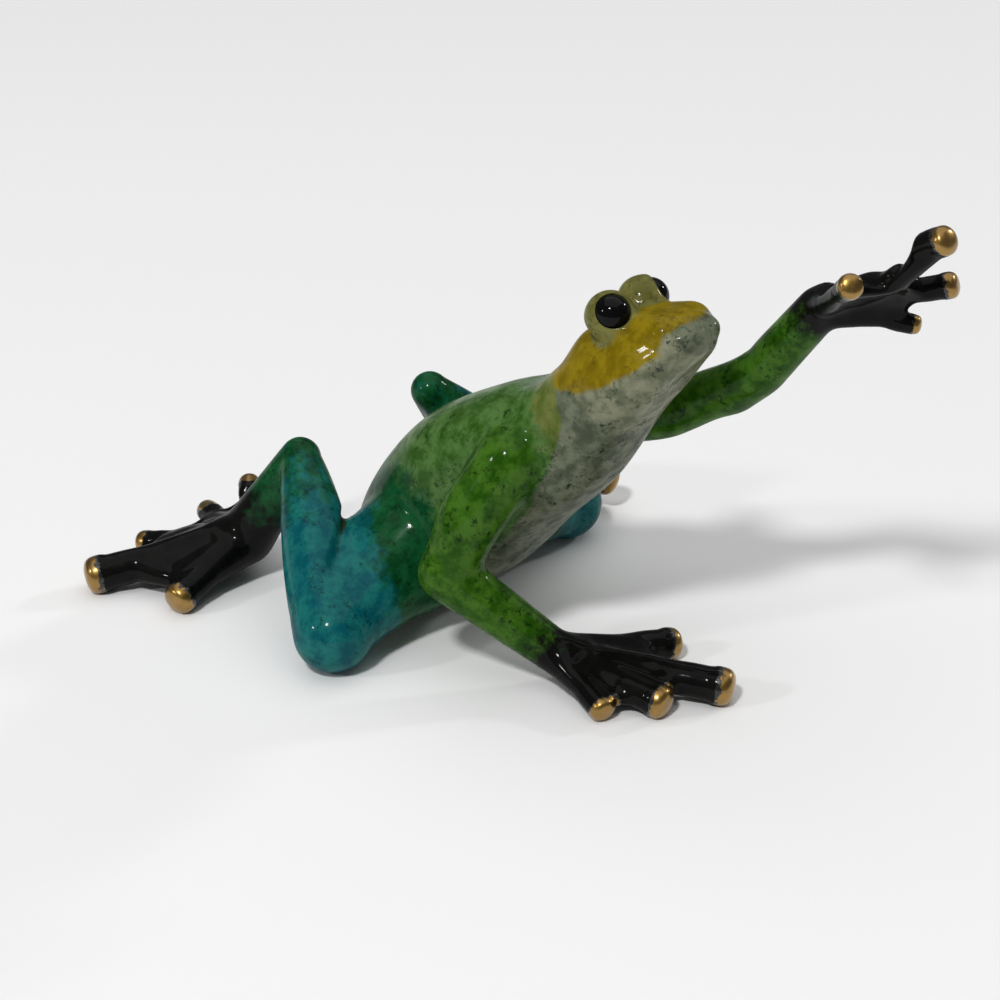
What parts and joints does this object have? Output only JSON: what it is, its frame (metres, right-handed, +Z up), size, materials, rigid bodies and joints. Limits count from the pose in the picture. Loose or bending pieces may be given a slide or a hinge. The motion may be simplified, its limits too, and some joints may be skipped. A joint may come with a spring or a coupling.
{
  "type": "frog figurine",
  "caption": "Cast metal frog figurine climbing forward on bent hind legs, one fore foot planted and one raised, with webbed feet, bare metal toe tips and glass eyes.",
  "frame": {"origin": "on the floor, under the middle of the figure's bounding box", "axes": "+X forward, the way the frog faces and its longest extent, +Y to the frog's left, +Z up"},
  "size_m": [0.184, 0.1166, 0.1122],
  "materials": {
    "green_patina": "mottled green patina under gloss lacquer, yellow on the head and pale grey below",
    "teal_patina": "mottled blue-green patina under gloss lacquer",
    "black_patina": "black patina under gloss lacquer",
    "polished_brass": "polished",
    "black_glass": "polished, opaque black",
    "dowel_steel": "ground"
  },
  "bodies": {
    "root": {"belly_plug": "green_patina", "left_ankle_dowel": "dowel_steel", "left_eye": "black_glass", "left_fore_foot": "black_patina", "left_fore_leg": "green_patina", "left_fore_toe_tips": "polished_brass", "left_hind_foot": "black_patina", "left_hind_leg": "teal_patina", "left_hind_toe_tips": "polished_brass", "left_hip_dowel": "dowel_steel", "left_shoulder_dowel": "dowel_steel", "left_wrist_dowel": "dowel_steel", "right_ankle_dowel": "dowel_steel", "right_eye": "black_glass", "right_fore_foot": "black_patina", "right_fore_leg": "green_patina", "right_fore_toe_tips": "polished_brass", "right_hind_foot": "black_patina", "right_hind_leg": "teal_patina", "right_hind_toe_tips": "polished_brass", "right_hip_dowel": "dowel_steel", "right_shoulder_dowel": "dowel_steel", "right_wrist_dowel": "dowel_steel", "torso_casting": "green_patina"}
  },
  "joints": []
}
